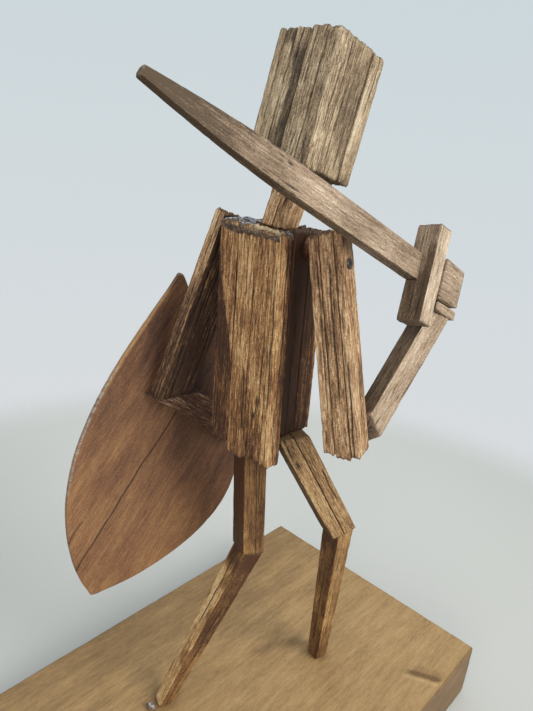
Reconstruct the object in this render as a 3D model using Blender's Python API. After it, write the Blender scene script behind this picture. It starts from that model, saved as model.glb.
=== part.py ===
"""Free-standing wooden stick-figure warrior on a board, built from split sticks and glue.

World frame in metres, +Z up.  Origin at the centre of the board's underside.
The warrior faces -Y, its own right hand is on the -X side.
"""
import math
import random

import bmesh
import bpy
from mathutils import Matrix, Vector

MM = 0.001
NAME = "stick_warrior"
GAP = 0.3                      # glue line left open between neighbouring pieces

# board the figure stands on (planed one-by-four off-cut)
BOARD_W, BOARD_L, BOARD_T = 89.0, 140.0, 20.0
BOARD_ROUND = 0.8

# legs
FOOT_L = Vector((10.7, 20.0, BOARD_T))
KNEE_L = Vector((3.8, -3.3, 66.6))
HIP_L = Vector((5.0, -0.9, 109.0))
FOOT_R = Vector((-9.1, -27.6, BOARD_T))
KNEE_R = Vector((-13.9, -21.0, 75.2))
HIP_R = Vector((-7.6, -1.2, 109.0))
SHIN_KNEE, SHIN_FOOT_L, SHIN_FOOT_R = 6.0, 3.6, 4.2
THIGH_L_SIZE = 6.5
THIGH_R_STRIPS = (3.5, 3.5)
THIGH_R_DEEP = 6.4
LEG_L_SIDE = Vector((0.94, -0.33, 0.0))      # face directions: the legs are turned a little
SHIN_R_SIDE = Vector((0.99, -0.14, 0.0))
THIGH_R_SIDE = Vector((0.39, 1.0, 0.0))      # its strips stand one behind the other

# torso: a back row of strips and two shorter rows in front of it
TORSO_FOOT = Vector((0.4, 0.2, 104.0))
TORSO_HEAD = Vector((1.7, 0.0, 158.0))
BACK_STRIPS = (5.7, 5.3, 5.4, 2.7)          # from the warrior's left to right
BACK_HEAD_STRIPS = (5.7, 5.3, 5.4, 1.2)     # the last one tapers towards the shoulder
BACK_DEEP = 4.0
BACK_FOOT_OFF = (0.6, -1.8, -0.8, -1.2)
BACK_HEAD_OFF = (0.6, 0.2, -0.3, -0.7)
MIDDLE_STRIPS = (9.0, 8.9)
FRONT_STRIPS = (6.3, 5.6, 6.0)
FRONT_DEEP = 5.4
FRONT_FOOT_OFF = (5.9, 5.5, 5.2)
FRONT_HEAD_OFF = (0.4, 0.0, -0.3)

# neck and head
NECK_FOOT = Vector((-1.2, 2.0, 158.9))
NECK_STRIPS = (2.7, 3.6)
NECK_DEEP = 5.0
HEAD_MID = Vector((-3.6, -3.0, 183.4))
HEAD_UP = Vector((-0.017, -0.254, 0.967)).normalized()
HEAD_SIDE = Vector((1.0, -0.013, 0.014))
HEAD_TALL = 26.9
HEAD_ROWS = (                                # (depth, strip widths) from back to front
    (4.2, (1.8, 2.5, 3.5, 4.3, 3.2)),
    (7.2, (7.4, 8.5)),
    (3.9, (4.2, 3.4, 4.3, 3.7)),
)

# right arm and the sword it holds
ARM_R_FOOT = Vector((-25.2, -1.0, 111.4))
ARM_R_HEAD = Vector((-14.0, 0.5, 159.0))
ARM_R_SIDE = Vector((0.965, 0.25, -0.2))
ARM_R_STRIPS = (2.6, 3.5, 1.9)
ARM_R_HEAD_STRIPS = (2.2, 3.1, 1.6)
ARM_R_DEEP = 6.2
ARM_R_FOOT_OFF = (0.4, -0.3, 0.3)
ARM_R_HEAD_OFF = (-0.3, 0.2, 0.3)
FOREARM_R_FOOT = Vector((-26.1, -5.4, 115.3))
FOREARM_R_CONTACT = 8.4                      # where the forearm's end meets the upper arm
FOREARM_R_CUT = (0.97, -0.242)               # its cut, off the upper arm's front face
FOREARM_R_HEAD = Vector((-28.3, -24.0, 141.1))
FOREARM_R_W, FOREARM_R_D = 5.2, 5.4
FOREARM_R_SIDE = Vector((0.88, -0.53, 0.0))

SWORD_MID = Vector((-26.5, -20.4, 150.8))    # middle of the cross-guard
SWORD_DIR = Vector((0.165, 0.892, 0.421)).normalized()
SWORD_EDGE = Vector((0.17, -0.446, 0.879))
GUARD_LONG, GUARD_WIDE, GUARD_THICK = 22.6, 5.9, 4.4
BLADE_LONG, BLADE_WIDE, BLADE_THICK, BLADE_TIP_THICK = 74.5, 5.9, 3.1, 1.4
BLADE_FULL = 0.52                            # share of the blade with full width
BLADE_TIP_WIDE = 1.4
BLADE_SHIFT = (-1.3, 1.05)                   # blade root off the guard's middle
GRIP_LONG, GRIP_TALL, GRIP_WIDE = 8.2, 9.4, 6.8
GRIP_DROP = 0.2                              # grip centre off the blade's line
THUMB_LONG, THUMB_SIZE = 8.4, 1.9

# left arm and shield
ARM_L_FOOT = Vector((26.0, 8.6, 110.4))
ARM_L_HEAD = Vector((14.6, 0.0, 158.4))
ARM_L_SIDE = Vector((1.0, -0.15, 0.2))
ARM_L_STRIPS = (3.6, 3.0, 3.4)
ARM_L_THICK = 3.7
ARM_L_HEAD_OFF = (0.3, 0.0, -0.4)
ELBOW_CUT = Vector((-0.296, 0.067, 0.953)).normalized()
FOREARM_L_DIR = Vector((-0.25, -0.79, -0.56)).normalized()
FOREARM_L_LONG, FOREARM_L_W, FOREARM_L_D = 26.0, 7.4, 3.9
SHIELD_FOOT = Vector((28.3, 32.4, 54.2))
SHIELD_AXIS = Vector((0.026, -0.318, 0.948)).normalized()
SHIELD_IN = Vector((-0.97, 0.22, 0.10)).normalized()
SHIELD_LONG, SHIELD_THICK = 92.0, 1.6
SHIELD_BACK_HALF, SHIELD_FRONT_HALF, SHIELD_SWELL = 15.0, 36.0, 0.78
SHIELD_SHOULDER, SHIELD_SHOULDER_AT, SHIELD_SHOULDER_RUN = 0.16, 0.83, 0.085
SHIELD_STEPS = 22

# brad head in the right shoulder, dried glue beads
PIN_R, PIN_H = 1.4, 0.7
ROUND = 0.28                                 # worn arrises of the sticks

WOOD_DARK = (0.20, 0.105, 0.045, 1.0)
WOOD_MID = (0.30, 0.175, 0.085, 1.0)
WOOD_PALE = (0.42, 0.29, 0.16, 1.0)
WOOD_RED = (0.24, 0.10, 0.045, 1.0)
WOOD_BOARD = (0.50, 0.33, 0.16, 1.0)
GLUE = (0.55, 0.50, 0.42, 1.0)
STEEL = (0.22, 0.22, 0.22, 1.0)

for old in list(bpy.data.objects):
    bpy.data.objects.remove(old, do_unlink=True)

parts = bpy.data.collections.new(NAME)
bpy.context.scene.collection.children.link(parts)


def material(name, colour, rough=0.75, metal=0.0):
    mat = bpy.data.materials.new(name)
    mat.use_nodes = True
    shader = mat.node_tree.nodes["Principled BSDF"]
    shader.inputs["Base Color"].default_value = colour
    shader.inputs["Roughness"].default_value = rough
    shader.inputs["Metallic"].default_value = metal
    return mat


def finish(name, bm, colour, rough=0.75, metal=0.0):
    bmesh.ops.recalc_face_normals(bm, faces=bm.faces[:])
    if bm.calc_volume(signed=True) < 0.0:
        bmesh.ops.reverse_faces(bm, faces=bm.faces[:])
    for vert in bm.verts:
        vert.co *= MM
    mesh = bpy.data.meshes.new(name)
    bm.to_mesh(mesh)
    bm.free()
    mesh.materials.append(material(name + "_mat", colour, rough, metal))
    obj = bpy.data.objects.new(name, mesh)
    parts.objects.link(obj)
    return obj


def axes(start, end, side):
    """Right-handed frame of a stick: side, front and the long axis."""
    long = (end - start).normalized()
    u = (side - long * side.dot(long)).normalized()
    return u, long.cross(u), long


def slide(point, long, plane):
    """Move a corner along the stick until it lies on the cutting plane."""
    at, normal = plane
    return point + long * ((at - point).dot(normal) / long.dot(normal))


def stick(name, start, end, size0, size1, side, colour, cut0=None, cut1=None,
          shift0=(0.0, 0.0), shift1=(0.0, 0.0), worn=ROUND):
    """Four-sided tapering stick; both ends can be mitred to a plane."""
    u, v, long = axes(start, end, side)
    cut0 = cut0 or (start, long)
    cut1 = cut1 or (end, long)
    bm = bmesh.new()
    bmesh.ops.create_cube(bm, size=1.0)
    for vert in bm.verts:
        sx, sy, sz = (1.0 if c > 0 else -1.0 for c in vert.co)
        base, size, shift, cut = (end, size1, shift1, cut1) if sz > 0 else (start, size0, shift0, cut0)
        spot = base + u * (shift[0] + sx * size[0] / 2) + v * (shift[1] + sy * size[1] / 2)
        vert.co = slide(spot, long, cut)
    bm.normal_update()
    bmesh.ops.bevel(bm, geom=bm.edges[:], offset=worn, segments=1, affect='EDGES',
                    clamp_overlap=True)
    return finish(name, bm, colour)


def centres(sizes, edge=None):
    """Offsets of a row of strips, first one on the plus side, gaps included."""
    if edge is None:
        edge = (sum(sizes) + GAP * (len(sizes) - 1)) / 2
    out = []
    for size in sizes:
        out.append(edge - size / 2)
        edge -= size + GAP
    return out


def split_plane(point, long, side, front, rnd, tilt):
    normal = long + side * rnd.uniform(-tilt, tilt) + front * rnd.uniform(-tilt, tilt)
    return point, normal.normalized()


def row(stem, start, end, side, strips, deep, offset, colour, seed, foot_off=None, head_off=None,
        tilt=0.06, cut0=None, cut1=None, head_strips=None, head_edge=None):
    """A row of split strips standing side by side along one axis."""
    head_strips = head_strips or strips
    rnd = random.Random(seed)
    u, v, long = axes(start, end, side)
    foot_off = foot_off or [rnd.uniform(-0.4, 0.4) for _ in strips]
    head_off = head_off or [rnd.uniform(-0.4, 0.4) for _ in strips]
    heads = centres(head_strips, head_edge)
    for i, (wide, mid) in enumerate(zip(strips, centres(strips))):
        move = u * mid + v * offset
        a = start + move + long * foot_off[i]
        b = end + move + long * head_off[i]
        c0 = cut0 or split_plane(a, long, u, v, rnd, tilt)
        c1 = cut1 or split_plane(b, long, u, v, rnd, tilt)
        tone = rnd.uniform(0.85, 1.15)
        shade = tuple(min(1.0, c * tone) for c in colour[:3]) + (1.0,)
        stick("%s_%d" % (stem, i + 1), a, b, (wide, deep), (head_strips[i], deep), side, shade,
              c0, c1, shift1=(heads[i] - mid, 0.0))


def bead(name, centre, radii, colour, rough=0.3):
    bm = bmesh.new()
    bmesh.ops.create_icosphere(bm, subdivisions=2, radius=1.0)
    bmesh.ops.transform(bm, matrix=Matrix.Diagonal((*radii, 1.0)), verts=bm.verts[:])
    bmesh.ops.translate(bm, vec=centre, verts=bm.verts[:])
    return finish(name, bm, colour, rough)


# ---------------------------------------------------------------- board
bm = bmesh.new()
bmesh.ops.create_cube(bm, size=1.0)
bmesh.ops.scale(bm, vec=(BOARD_W, BOARD_L, BOARD_T), verts=bm.verts[:])
bmesh.ops.translate(bm, vec=(0.0, 0.0, BOARD_T / 2), verts=bm.verts[:])
upright = [e for e in bm.edges if max(v.co.z for v in e.verts) > BOARD_T / 2]
bm.normal_update()
bmesh.ops.bevel(bm, geom=upright, offset=BOARD_ROUND, segments=2, affect='EDGES')
finish("base_board", bm, WOOD_BOARD)

# ---------------------------------------------------------------- legs
UP = Vector((0.0, 0.0, 1.0))
SIDE = Vector((1.0, 0.15, 0.0))


def mitre(low, knee, high):
    """Bisecting plane of two sticks that meet at the knee."""
    return ((knee - low).normalized() + (high - knee).normalized()).normalized()


for tag, foot, knee, hip, foot_size in (("left", FOOT_L, KNEE_L, HIP_L, SHIN_FOOT_L),
                                        ("right", FOOT_R, KNEE_R, HIP_R, SHIN_FOOT_R)):
    normal = mitre(foot, knee, hip)
    below = (knee - normal * GAP / 2, normal)
    above = (knee + normal * GAP / 2, normal)
    ground = (Vector((0.0, 0.0, BOARD_T + GAP)), UP)
    roof = (Vector((0.0, 0.0, hip.z - GAP)), UP)
    stick("shin_" + tag, foot, knee, (foot_size, foot_size), (SHIN_KNEE, SHIN_KNEE),
          LEG_L_SIDE if tag == "left" else SHIN_R_SIDE, WOOD_MID, ground, below)
    if tag == "left":
        stick("thigh_left", knee, hip, (THIGH_L_SIZE,) * 2, (THIGH_L_SIZE,) * 2, LEG_L_SIDE,
              WOOD_DARK, above, roof)
    else:
        row("thigh_right", knee, hip, THIGH_R_SIDE, THIGH_R_STRIPS, THIGH_R_DEEP, 0.0, WOOD_MID, 5,
            cut0=above, cut1=roof)

# ---------------------------------------------------------------- torso
EAST = Vector((1.0, 0.0, 0.0))
depth_all = BACK_DEEP + 2 * (GAP + FRONT_DEEP)
row("torso_back", TORSO_FOOT, TORSO_HEAD, EAST, BACK_STRIPS, BACK_DEEP,
    depth_all / 2 - BACK_DEEP / 2, WOOD_MID, 11, BACK_FOOT_OFF, BACK_HEAD_OFF,
    head_strips=BACK_HEAD_STRIPS, head_edge=(sum(BACK_STRIPS) + GAP * 3) / 2)
row("torso_middle", TORSO_FOOT, TORSO_HEAD, EAST, MIDDLE_STRIPS, FRONT_DEEP,
    -depth_all / 2 + FRONT_DEEP * 1.5 + GAP, WOOD_DARK, 12, FRONT_FOOT_OFF, FRONT_HEAD_OFF,
    tilt=0.03)
row("torso_front", TORSO_FOOT, TORSO_HEAD, EAST, FRONT_STRIPS, FRONT_DEEP,
    -depth_all / 2 + FRONT_DEEP / 2, WOOD_DARK, 13, FRONT_FOOT_OFF, FRONT_HEAD_OFF, tilt=0.03)

# ---------------------------------------------------------------- neck and head
head_foot = HEAD_MID - HEAD_UP * HEAD_TALL / 2
head_top = HEAD_MID + HEAD_UP * HEAD_TALL / 2
chin = (head_foot - HEAD_UP * (GAP + 0.25), HEAD_UP)
row("neck", NECK_FOOT, head_foot, SIDE, NECK_STRIPS, NECK_DEEP, 0.0, WOOD_MID, 21,
    cut0=(NECK_FOOT, UP), cut1=chin)
head_deep = sum(deep for deep, _ in HEAD_ROWS) + GAP * (len(HEAD_ROWS) - 1)
back_face = head_deep / 2
for level, (deep, strips) in enumerate(HEAD_ROWS):
    row("head_row%d" % (level + 1), head_foot, head_top, HEAD_SIDE, strips, deep,
        back_face - deep / 2, WOOD_PALE, 31 + level,
        foot_off=[0.0 + 0.25 * (i % 2) for i in range(len(strips))], tilt=0.05)
    back_face -= deep + GAP

# ---------------------------------------------------------------- right arm, sword and hand
row("upper_arm_right", ARM_R_FOOT, ARM_R_HEAD, ARM_R_SIDE, ARM_R_STRIPS, ARM_R_DEEP, 0.0,
    WOOD_PALE, 41, ARM_R_FOOT_OFF, ARM_R_HEAD_OFF, head_strips=ARM_R_HEAD_STRIPS)

edge = (SWORD_EDGE - SWORD_DIR * SWORD_EDGE.dot(SWORD_DIR)).normalized()
flat = edge.cross(SWORD_DIR)
stick("sword_guard", SWORD_MID - edge * GUARD_LONG / 2, SWORD_MID + edge * GUARD_LONG / 2,
      (GUARD_WIDE, GUARD_THICK), (GUARD_WIDE, GUARD_THICK), flat, WOOD_MID)

root = SWORD_MID + SWORD_DIR * (GUARD_THICK / 2 + GAP)
root += flat * BLADE_SHIFT[0] + edge * BLADE_SHIFT[1]
bm = bmesh.new()
bmesh.ops.create_cube(bm, size=1.0)
runs = [e for e in bm.edges if abs(e.verts[0].co.x - e.verts[1].co.x) > 0.5]
bmesh.ops.subdivide_edges(bm, edges=runs, cuts=9, use_grid_fill=True)
for vert in bm.verts:
    s = vert.co.x + 0.5
    t = max(0.0, (s - BLADE_FULL) / (1.0 - BLADE_FULL))
    wide = BLADE_TIP_WIDE + (BLADE_WIDE - BLADE_TIP_WIDE) * (1.0 - t ** 1.9)
    thick = BLADE_THICK + (BLADE_TIP_THICK - BLADE_THICK) * s
    vert.co = (root + SWORD_DIR * BLADE_LONG * s + edge * wide * vert.co.y
               + flat * thick * vert.co.z)
bm.normal_update()
bmesh.ops.bevel(bm, geom=[e for e in bm.edges if e.calc_face_angle(0.0) > 0.7], offset=0.2,
                segments=1, affect='EDGES')
finish("sword_blade", bm, WOOD_PALE)

grip0 = SWORD_MID - SWORD_DIR * (GUARD_THICK / 2 + GAP) + edge * GRIP_DROP
grip1 = grip0 - SWORD_DIR * GRIP_LONG
stick("hand_right", grip0, grip1, (GRIP_TALL, GRIP_WIDE), (GRIP_TALL - 0.8, GRIP_WIDE), edge,
      WOOD_PALE)
under = grip0 - edge * (GRIP_TALL / 2 + GAP + THUMB_SIZE / 2)
thumb0 = under - SWORD_DIR * 1.2 + flat * 1.6
stick("hand_thumb_strip", thumb0, thumb0 - SWORD_DIR * THUMB_LONG, (THUMB_SIZE,) * 2,
      (THUMB_SIZE,) * 2, edge, WOOD_MID)
wrist = (under - edge * (THUMB_SIZE / 2 + GAP), edge)
u, v, long = axes(ARM_R_FOOT, ARM_R_HEAD, ARM_R_SIDE)
elbow = (ARM_R_FOOT + long * FOREARM_R_CONTACT - v * (ARM_R_DEEP / 2 + GAP),
         v * FOREARM_R_CUT[0] + long * FOREARM_R_CUT[1])
stick("forearm_right", FOREARM_R_FOOT, FOREARM_R_HEAD, (FOREARM_R_W, FOREARM_R_D),
      (FOREARM_R_W, FOREARM_R_D), FOREARM_R_SIDE, WOOD_PALE, cut0=elbow, cut1=wrist)

arm_wide = sum(ARM_R_HEAD_STRIPS) + GAP * 2 + 0.1
pin_at = ARM_R_FOOT + long * 42.6 - u * (arm_wide / 2 + GAP + PIN_H / 2) + v * 0.2
bm = bmesh.new()
bmesh.ops.create_cone(bm, cap_ends=True, segments=16, radius1=PIN_R, radius2=PIN_R * 0.8,
                      depth=PIN_H)
turn = (-u).to_track_quat('Z', 'Y').to_matrix().to_4x4()
bmesh.ops.transform(bm, matrix=Matrix.Translation(pin_at) @ turn, verts=bm.verts[:])
finish("shoulder_brad_head", bm, STEEL, 0.4, 0.9)

# ---------------------------------------------------------------- left arm
u, v, long = axes(ARM_L_FOOT, ARM_L_HEAD, ARM_L_SIDE)
row("upper_arm_left", ARM_L_FOOT, ARM_L_HEAD, v, ARM_L_STRIPS, ARM_L_THICK, 0.0, WOOD_DARK, 51,
    [0.0] * 3, ARM_L_HEAD_OFF, tilt=0.04, cut0=(ARM_L_FOOT, ELBOW_CUT))
elbow = (ARM_L_FOOT - ELBOW_CUT * GAP, ELBOW_CUT)
cross = SHIELD_IN - FOREARM_L_DIR * SHIELD_IN.dot(FOREARM_L_DIR)
stick("forearm_left", ARM_L_FOOT, ARM_L_FOOT + FOREARM_L_DIR * FOREARM_L_LONG,
      (FOREARM_L_D, FOREARM_L_W), (FOREARM_L_D, FOREARM_L_W), cross, WOOD_MID, cut0=elbow)

# ---------------------------------------------------------------- shield
across = SHIELD_IN.cross(SHIELD_AXIS).normalized()
bm = bmesh.new()
bmesh.ops.create_grid(bm, x_segments=1, y_segments=SHIELD_STEPS, size=0.5)
for vert in bm.verts:
    s = vert.co.y + 0.5
    swell = max(0.018, math.sin(math.pi * s ** SHIELD_SWELL))
    half = SHIELD_BACK_HALF
    if vert.co.x < 0:
        half = -SHIELD_FRONT_HALF
        off = (s - SHIELD_SHOULDER_AT) / SHIELD_SHOULDER_RUN
        swell += SHIELD_SHOULDER * math.exp(-off * off)
    vert.co = SHIELD_FOOT + SHIELD_AXIS * SHIELD_LONG * s + across * half * swell
faces = bm.faces[:]
grown = bmesh.ops.extrude_face_region(bm, geom=faces)
moved = [g for g in grown["geom"] if isinstance(g, bmesh.types.BMVert)]
bmesh.ops.translate(bm, vec=SHIELD_IN * -SHIELD_THICK, verts=moved)
finish("shield", bm, WOOD_RED)

# ---------------------------------------------------------------- dried glue
bead("glue_neck_left", Vector((7.2, 2.6, 159.75)), (4.3, 4.4, 0.55), GLUE)
bead("glue_neck_right", Vector((-7.2, 2.4, 159.65)), (2.3, 3.4, 0.5), GLUE)
bead("glue_foot_left", FOOT_L + Vector((0.6, 4.2, 1.0)), (1.6, 1.3, 0.65), GLUE)
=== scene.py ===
"""Looks of the stick-figure warrior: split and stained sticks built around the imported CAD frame.

Row frame in metres, +Z up, the warrior faces -Y.  Lengths in this file are millimetres
unless a name says otherwise; MM turns them into metres.
"""

import math
import random

import bpy
import numpy as np
from mathutils import Matrix, Vector, noise


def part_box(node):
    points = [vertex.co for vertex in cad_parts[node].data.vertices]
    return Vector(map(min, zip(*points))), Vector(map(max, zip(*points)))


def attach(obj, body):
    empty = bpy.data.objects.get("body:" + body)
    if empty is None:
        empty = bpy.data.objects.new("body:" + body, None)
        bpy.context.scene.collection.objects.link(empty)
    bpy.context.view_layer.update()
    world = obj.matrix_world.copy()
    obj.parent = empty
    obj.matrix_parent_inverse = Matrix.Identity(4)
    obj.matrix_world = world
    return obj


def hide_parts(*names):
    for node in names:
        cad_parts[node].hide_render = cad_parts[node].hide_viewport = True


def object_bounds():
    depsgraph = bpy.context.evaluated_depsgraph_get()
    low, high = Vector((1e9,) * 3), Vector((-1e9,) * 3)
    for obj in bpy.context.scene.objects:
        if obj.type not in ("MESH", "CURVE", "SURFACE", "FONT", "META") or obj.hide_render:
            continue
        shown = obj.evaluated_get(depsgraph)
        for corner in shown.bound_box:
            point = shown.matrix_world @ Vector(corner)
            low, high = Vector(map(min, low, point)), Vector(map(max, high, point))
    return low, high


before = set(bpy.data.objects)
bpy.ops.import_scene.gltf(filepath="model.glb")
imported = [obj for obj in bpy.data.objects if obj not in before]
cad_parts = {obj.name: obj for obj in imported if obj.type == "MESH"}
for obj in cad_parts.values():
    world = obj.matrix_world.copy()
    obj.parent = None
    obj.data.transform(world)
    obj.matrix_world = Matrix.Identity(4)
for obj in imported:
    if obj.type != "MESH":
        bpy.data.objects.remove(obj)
cad_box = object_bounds()

MM = 0.001
BODY = "root"
BACK = Vector((0.0, 1.0, 0.0))
UP = Vector((0.0, 0.0, 1.0))
SAME_WAY = 0.995  # cosine above which two faces count as parallel


# ---- reading the frame
def node_points(name):
    """Corner points of a CAD node in mm, each once."""
    seen = {}
    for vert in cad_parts[name].data.vertices:
        point = vert.co / MM
        seen[tuple(round(c, 2) for c in point)] = point
    return list(seen.values())


def by_height(name):
    """The same, from the lowest to the highest."""
    return sorted(node_points(name), key=lambda p: p.z)


def mean(points):
    """Middle of some points."""
    points = list(points)
    return sum(points, Vector()) / len(points)


def face_axes(name, along=None):
    """Side, front and long direction of a CAD stick, from the normals of its large faces."""
    groups = []
    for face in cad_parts[name].data.polygons:
        for group in groups:
            if abs(group[0].dot(face.normal)) > SAME_WAY:
                group[1] += face.area
                break
        else:
            groups.append([face.normal.copy(), face.area])
    groups.sort(key=lambda group: -group[1])
    if along is not None:
        groups = [g for g in groups if abs(g[0].dot(along)) < 0.3]
    first = groups[0][0]
    if along is None:
        second = next(g[0] for g in groups if abs(g[0].dot(first)) < 0.5)
        along = first.cross(second).normalized()
    if along.z < 0.0:
        along = -along
    u = (first - along * first.dot(along)).normalized()
    return u, along.cross(u), along


def line_axes(name):
    """The same for a long tapering node, whose axis is its longest spread."""
    points = np.array([tuple(p) for p in node_points(name)])
    middle = points.mean(0)
    long = Vector(np.linalg.svd(points - middle)[2][0])
    order = np.argsort((points - middle) @ np.array(long))
    tip0, tip1 = points[order[:4]].mean(0), points[order[-4:]].mean(0)
    return face_axes(name, (Vector(tip1) - Vector(tip0)).normalized())


def stations(name, axes, gap):
    """Cross-sections of a node along its axis, each as four corners (side, front, run).

    A plain stick has two. With a gap, corners further apart than that start a new section.
    """
    u, v, long = axes
    local = [Vector((p.dot(u), p.dot(v), p.dot(long))) for p in node_points(name)]
    if gap is None:
        half = (min(p.z for p in local) + max(p.z for p in local)) / 2
        groups = [[p for p in local if p.z < half], [p for p in local if p.z >= half]]
    else:
        groups = []
        for point in sorted(local, key=lambda p: p.z):
            if groups and point.z - groups[-1][0].z < gap:
                groups[-1].append(point)
            else:
                groups.append([point])
    found = []
    for level, group in enumerate(groups):
        corner = {}
        far = max if level > 0 else min
        middle = mean(group)
        for su in (-1, 1):
            for sv in (-1, 1):
                near = [p for p in group
                        if (p.x - middle.x) * su > 0 and (p.y - middle.y) * sv > 0]
                if not near:
                    continue
                corner[su, sv] = Vector((max((p.x * su for p in near)) * su,
                                         max((p.y * sv for p in near)) * sv,
                                         far(p.z for p in near)))
        if len(corner) == 4:
            found.append(corner)
    return found


def blend_corners(levels, t):
    """Corners at a share t of the run, on a smooth curve through all the sections."""
    last = len(levels) - 1
    if last == 1:
        return {key: levels[0][key].lerp(levels[1][key], t) for key in levels[0]}
    place = min(max(t, 0.0), 1.0) * last
    i = min(int(place), last - 1)
    f = place - i
    out = {}
    for key in levels[0]:
        p1, p2 = levels[i][key], levels[i + 1][key]
        p0 = levels[i - 1][key] if i > 0 else p1 * 2 - p2
        p3 = levels[i + 2][key] if i + 2 <= last else p2 * 2 - p1
        out[key] = 0.5 * (2 * p1 + (p2 - p0) * f + (2 * p0 - 5 * p1 + 4 * p2 - p3) * f * f
                          + (3 * p1 - p0 - 3 * p2 + p3) * f * f * f)
    return out


# ---- split-stick meshes
SIDES = ((0, -1), (1, 0), (0, 1), (-1, 0))  # outward directions of a stick's four sides
CORNER_STEPS = 3  # points round each of its rounded corners
EDGE_BAND = 0.7  # mm beside a corner that count as its edge
CRACK_FADE = 2.5  # mm in which a crack runs out
TEAR_REACH = 2.2  # mm of an end in which its fibres are torn
RIM_ROUND = 0.6  # mm of an end in which its rim is rounded
RIM_COLOUR = 0.5  # mm of an end with the colour of end grain
END_RUNS = (0.0, 0.2, 0.5, 0.95)  # mm from an end of its close rings
END_CLEAR = 1.5  # mm from an end of the first even ring
END_SHARES = (0.9, 0.74, 0.56, 0.38, 0.2)  # rings of an end face, from its rim inwards
TONE_SPREAD = 0.07  # how far one stick's tone is from the next


# wave, furrow and fibre are heights of the relief, round and chip shape the corners, ragged
# tears the ends, cracks is the number on each wide side, crack_deep their depth, pitch and run
# the mesh spacing across and along, dense a factor on the relief's spacing, and grow how far
# the wood stands out of the CAD stick; all in mm
PLAIN_STICK = {
    "wave": 0.06, "furrow": 0.14, "fibre": 0.05, "round": 0.24, "chip": 0.14, "ragged": 0.35,
    "cracks": 2, "crack_deep": 0.5, "pitch": 0.25, "run": 0.75, "dense": 1.0, "grow": 0.13}


class Look:
    """How rough a kind of stick is: PLAIN_STICK with changes."""

    def __init__(self, material, **changes):
        self.material = material
        vars(self).update(PLAIN_STICK, **changes)


def section(wide, deep, radius, pitch):
    """Points round a rounded rectangle: x, y, outward x and y, side, run along it, edge."""
    radius = min(radius, wide * 0.45, deep * 0.45)
    points = []
    for side, (nx, ny) in enumerate(SIDES):
        size, other = (wide, deep) if ny else (deep, wide)
        tx, ty = -ny, nx
        straight = size - 2 * radius
        steps = max(2, round(straight / pitch))
        for i in range(steps):
            run = -straight / 2 + straight * i / steps
            x = nx * other / 2 + tx * run
            y = ny * other / 2 + ty * run
            edge = max(0.0, 1.0 - (straight / 2 - abs(run)) / EDGE_BAND)
            points.append((x, y, nx, ny, side, run + straight / 2 + radius, edge))
        cx = nx * (other / 2 - radius) + tx * straight / 2
        cy = ny * (other / 2 - radius) + ty * straight / 2
        for step in range(CORNER_STEPS):
            angle = math.radians(90 / CORNER_STEPS * step)
            dx = nx * math.cos(angle) + tx * math.sin(angle)
            dy = ny * math.cos(angle) + ty * math.sin(angle)
            points.append((cx + dx * radius, cy + dy * radius, dx, dy, side, size, 1.0))
    return points


def snoise(x, y, z):
    """Smooth noise between about -1 and 1."""
    return noise.noise(Vector((x, y, z)))


def relief(look, x, y, w, seed):
    """Height of split wood at a point of the section, and how deep in a furrow it is."""
    height = look.wave * snoise(x * 0.35 + seed, y * 0.35, w * 0.05)
    crossing = snoise(x * 1.25 * look.dense, y * 1.25 * look.dense + seed, w * 0.05 + 7.0)
    here = min(1.0, max(0.0, 0.35 + 1.7 * snoise(x * 0.6, y * 0.6 + seed, w * 0.11 + 31.0)))
    furrow = max(0.0, 1.0 - abs(crossing) / 0.085) * here
    height -= look.furrow * furrow
    height += look.fibre * snoise(x * 2.9, y * 2.9 + seed, w * 0.3)
    height += look.fibre * 0.6 * snoise(x * 1.9 + 40.0, y * 1.9 + seed, w * 1.1)
    return height, (furrow if look.furrow > 0.0 else 0.0)


def crack_list(look, wide, deep, tall, rnd):
    """Long cracks along the grain: side, run along it, from, to, width, depth, phase."""
    found = []
    sizes = (wide, deep, wide, deep)
    for side in range(4):
        for _ in range(look.cracks if sizes[side] > 3.4 else look.cracks // 2):
            start = rnd.uniform(-0.2, 0.7) * tall
            found.append((side, rnd.uniform(0.15, 0.85) * sizes[side], start,
                          start + rnd.uniform(0.25, 0.8) * tall, rnd.uniform(0.14, 0.24),
                          look.crack_deep * rnd.uniform(0.5, 1.0), rnd.uniform(0, 90)))
    return found


def lie(run, start, end):
    """1 inside a stretch, fading to 0 at both ends."""
    return max(0.0, min(1.0, (run - start) / CRACK_FADE, (end - run) / CRACK_FADE))


def tube(rings, size):
    """Quads between neighbouring rings of points."""
    return [(j * size + i, j * size + (i + 1) % size, (j + 1) * size + (i + 1) % size,
             (j + 1) * size + i) for j in range(rings - 1) for i in range(size)]


def add_object(name, data):
    """A new object in the scene."""
    obj = bpy.data.objects.new(name, data)
    bpy.context.scene.collection.objects.link(obj)
    return obj


def make_mesh(name, points, faces, grain, wear_and_shade, cut, material):
    """Mesh from points in mm, with what its material needs kept as attributes.

    grain is the place in the wood, wear_and_shade is (hollow, edge, tone with any painted shade),
    cut the share of end grain.
    """
    mesh = bpy.data.meshes.new(name)
    mesh.from_pydata([p * MM for p in points], [], faces)
    mesh.shade_smooth()
    for label, values in (("grain", grain), ("wear_and_shade", wear_and_shade)):
        layer = mesh.attributes.new(label, "FLOAT_VECTOR", "POINT")
        layer.data.foreach_set("vector", np.array(values, np.float32).ravel())
    layer = mesh.attributes.new("cut", "FLOAT", "POINT")
    layer.data.foreach_set("value", np.array(cut, np.float32))
    mesh.materials.append(material)
    mesh.update()
    return add_object(name, mesh)


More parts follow.
